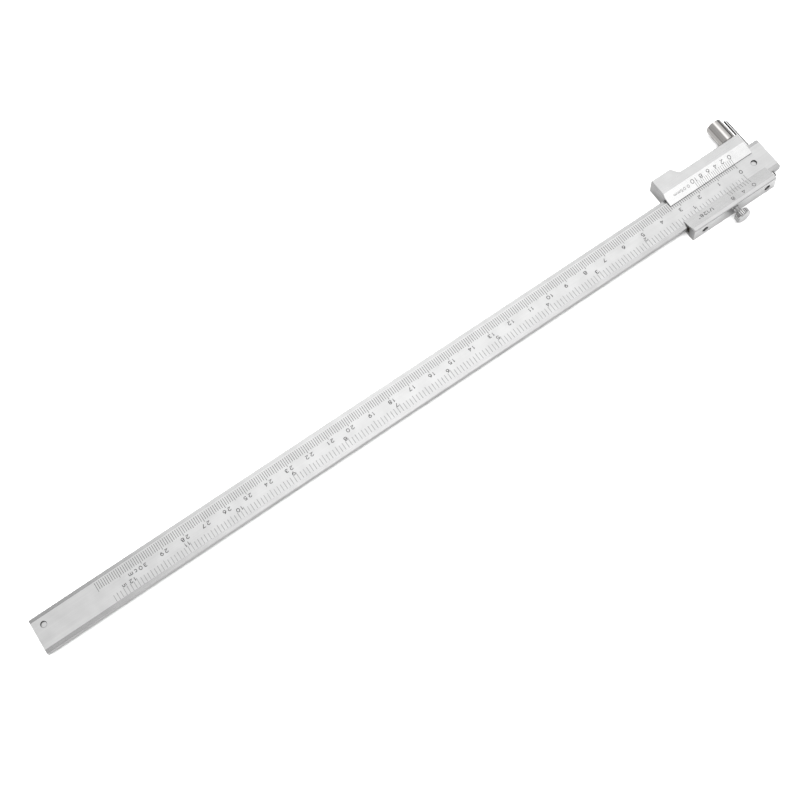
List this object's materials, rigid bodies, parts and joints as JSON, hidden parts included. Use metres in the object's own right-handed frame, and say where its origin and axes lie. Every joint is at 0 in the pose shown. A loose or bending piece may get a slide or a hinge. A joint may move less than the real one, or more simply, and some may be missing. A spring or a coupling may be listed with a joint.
{
  "type": "vernier caliper",
  "caption": "Parallel marking vernier caliper: graduated flat beam with a scriber needle, and a slider with a guide roller, a thumb rest and a knurled lock screw.",
  "frame": {"origin": "on the slider's back face, under the scale zero, on the beam's centre line", "axes": "+X along the beam from the zero towards the far end of the scale, +Y towards the inch edge and the lock screw, +Z out of the scale face"},
  "size_m": [0.365, 0.043, 0.008],
  "materials": {
    "beam_steel": "satin chrome",
    "slider_steel": "satin chrome, ground sides",
    "carbide": "ground",
    "roller_steel": "hardened and polished",
    "bearing_steel": "polished",
    "screw_steel": "turned",
    "dark_screw": "black oxide",
    "knob_steel": "satin chrome, knurled",
    "bronze": "satin"
  },
  "bodies": {
    "beam": {"beam": "beam_steel", "beam_pins": "beam_steel", "scriber_needle": "carbide", "needle_clamp_screw": "screw_steel"},
    "slider": {"slider_body": "slider_steel", "gib_strip": "bronze", "gib_screws": "dark_screw", "roller_axle_screw": "screw_steel", "roller_washer": "screw_steel", "bearing_inner_rings": "bearing_steel", "bearing_spacer": "bearing_steel", "roller_end_washer": "screw_steel"},
    "roller": {"roller_sleeve": "roller_steel", "bearing_outer_rings": "bearing_steel", "bearing_balls": "bearing_steel", "bearing_cages": "bronze", "bearing_shields": "bearing_steel"},
    "shoe": {"lock_shoe": "bronze"},
    "lock": {"lock_screw": "screw_steel", "lock_knob": "knob_steel"}
  },
  "joints": [
    {"name": "slider_travel", "type": "slide", "parent": "beam", "child": "slider", "axis": [1, 0, 0], "range_m": [0, 0.3]},
    {"name": "roller_spin", "type": "hinge", "parent": "slider", "child": "roller", "pos_m": [-0.00565, -0.0197, 0.004], "axis": [0, 1, 0], "continuous": true},
    {"name": "lock_advance", "type": "slide", "parent": "slider", "child": "shoe", "axis": [0, -1, 0], "range_m": [0, 0.00025]},
    {"name": "lock_turn", "type": "hinge", "parent": "shoe", "child": "lock", "pos_m": [0.0115, 0.0125, 0.004], "axis": [0, -1, 0], "range_deg": [0, 180]}
  ],
  "couplings": [
    {"joint": "lock_turn", "follows": "lock_advance", "rad_per_m": 12566}
  ]
}
